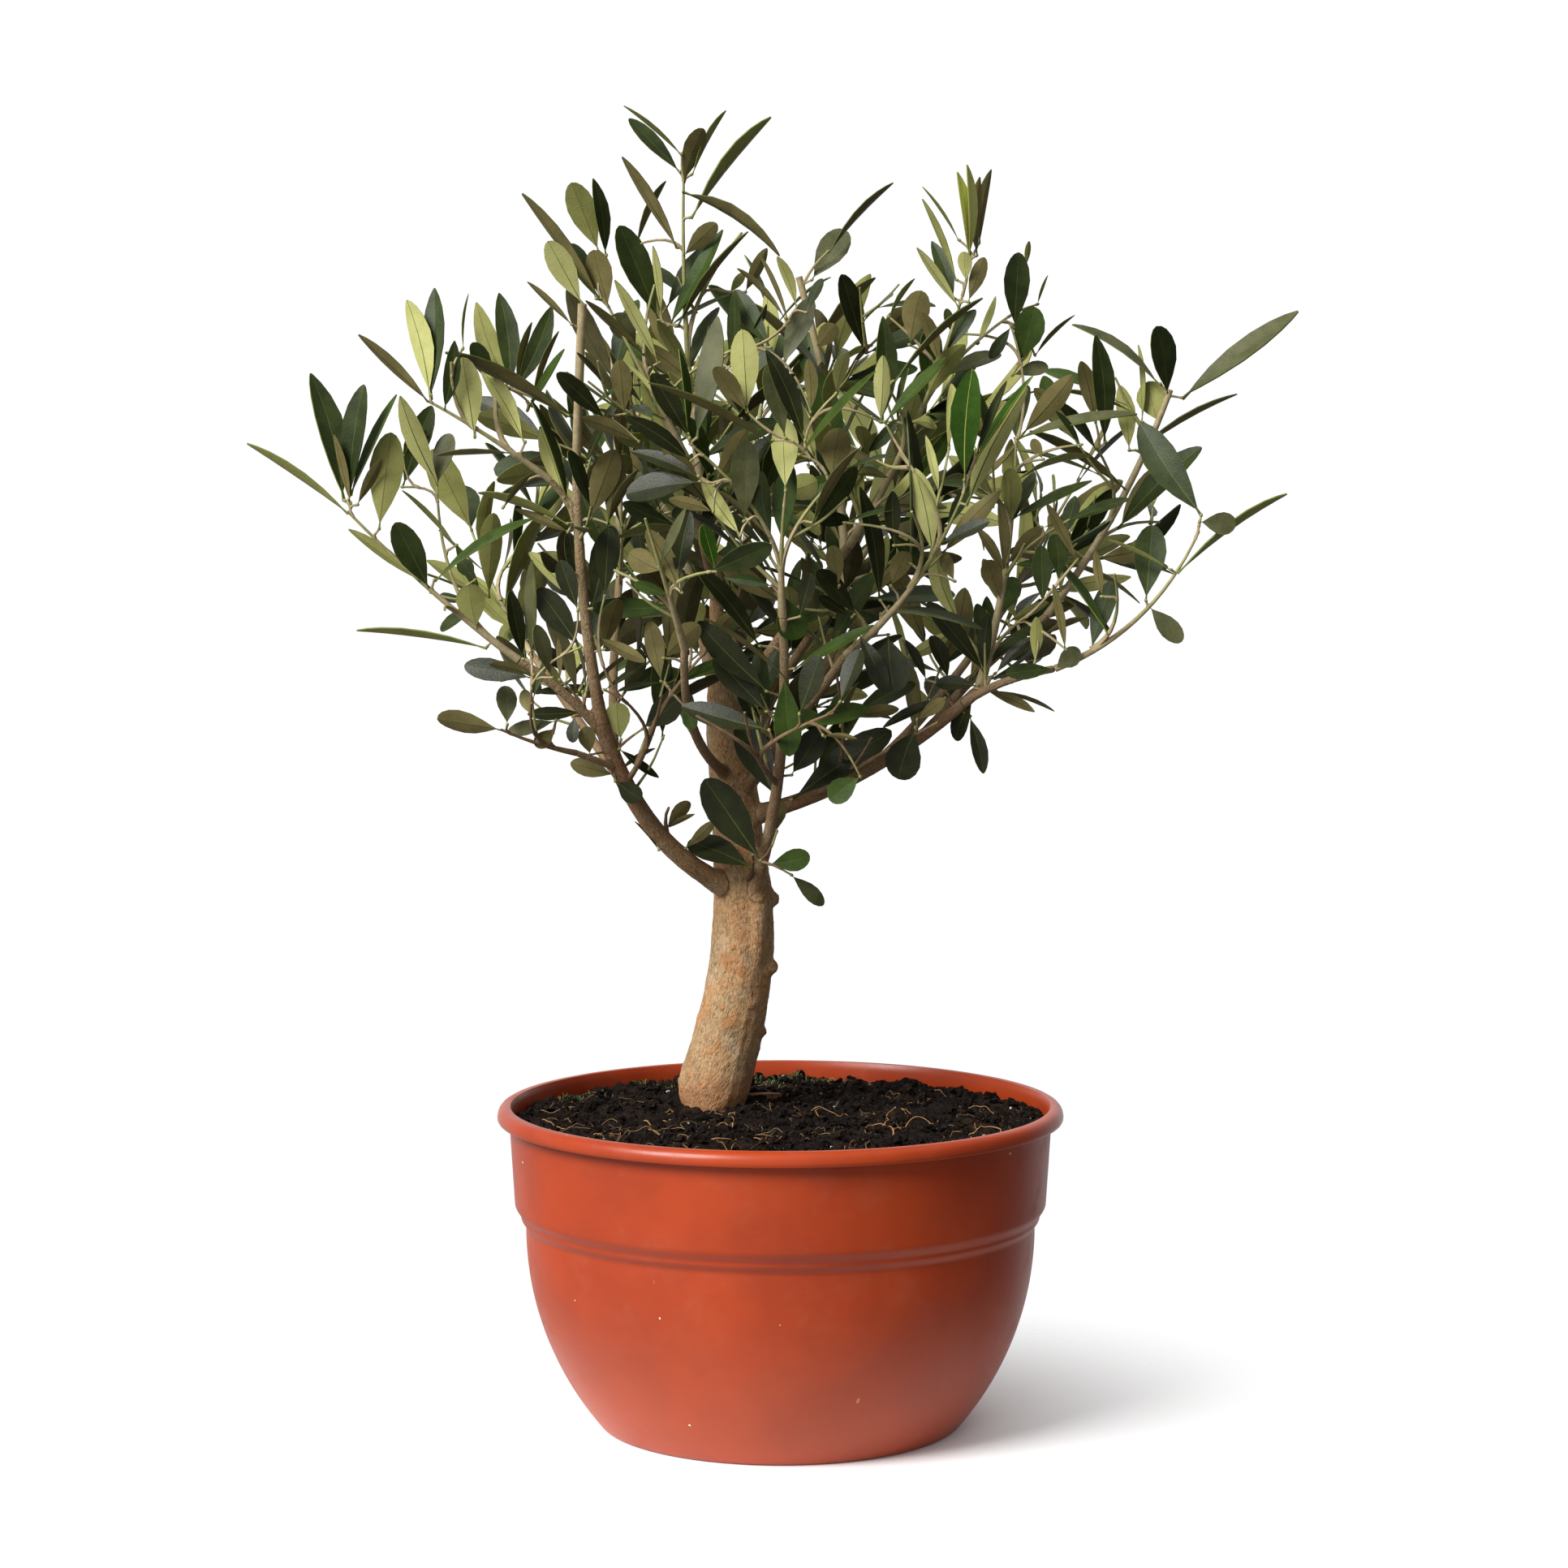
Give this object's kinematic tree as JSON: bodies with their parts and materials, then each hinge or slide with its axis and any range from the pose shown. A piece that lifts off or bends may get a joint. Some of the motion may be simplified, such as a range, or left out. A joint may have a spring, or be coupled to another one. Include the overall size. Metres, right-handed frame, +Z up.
{
  "type": "potted olive tree",
  "caption": "Young potted olive tree with a leaning trunk, open crown of narrow grey-green leaves, and a round plastic bowl pot filled with soil.",
  "frame": {"origin": "centre of the pot's flat underside", "axes": "+Z up, along the height; +X to the right and +Y away from the viewer, who faces the side that the picture shows"},
  "size_m": [0.4814, 0.413, 0.643],
  "materials": {
    "pot": "satin moulded plastic, a little dusty",
    "soil": "loose dark potting soil with fibres",
    "bark": "smooth young bark with fine cracks and small scars",
    "foliage": "leathery leaves, dark above and grey-green below"
  },
  "bodies": {
    "root": {"pot": "pot", "soil": "soil", "trunk": "bark", "left_bough": "bark", "left_stick": "bark", "left_high_arm": "bark", "left_arm": "bark", "left_back_stick": "bark", "left_skirt_arm": "bark", "left_back_bough": "bark", "front_shoot": "bark", "right_bough": "bark", "right_arm": "bark", "right_upper_arm": "bark", "right_back_bough": "bark", "middle_right_bough": "bark", "inner_right_bough": "bark", "leader": "bark", "upper_left_bough": "bark", "upper_right_bough": "bark", "front_left_bough": "bark", "back_left_bough": "bark", "back_right_bough": "bark", "back_low_bough": "bark", "top_back_bough": "bark", "left_tall_spray": "foliage", "left_high_spray": "foliage", "left_low_spray": "foliage", "left_back_spray": "foliage", "left_skirt_spray": "foliage", "far_left_back_spray": "foliage", "low_sprig": "foliage", "left_low_sprig": "foliage", "left_inner_sprig": "foliage", "middle_sprig": "foliage", "right_low_sprig": "foliage", "front_spray": "foliage", "right_upright_spray": "foliage", "right_low_spray": "foliage", "right_far_spray": "foliage", "far_right_back_spray": "foliage", "middle_right_spray": "foliage", "inner_right_spray": "foliage", "crown_top_spray": "foliage", "upper_left_spray": "foliage", "upper_right_spray": "foliage", "front_left_spray": "foliage", "back_left_spray": "foliage", "back_right_spray": "foliage", "back_low_spray": "foliage", "top_back_spray": "foliage"}
  },
  "joints": []
}
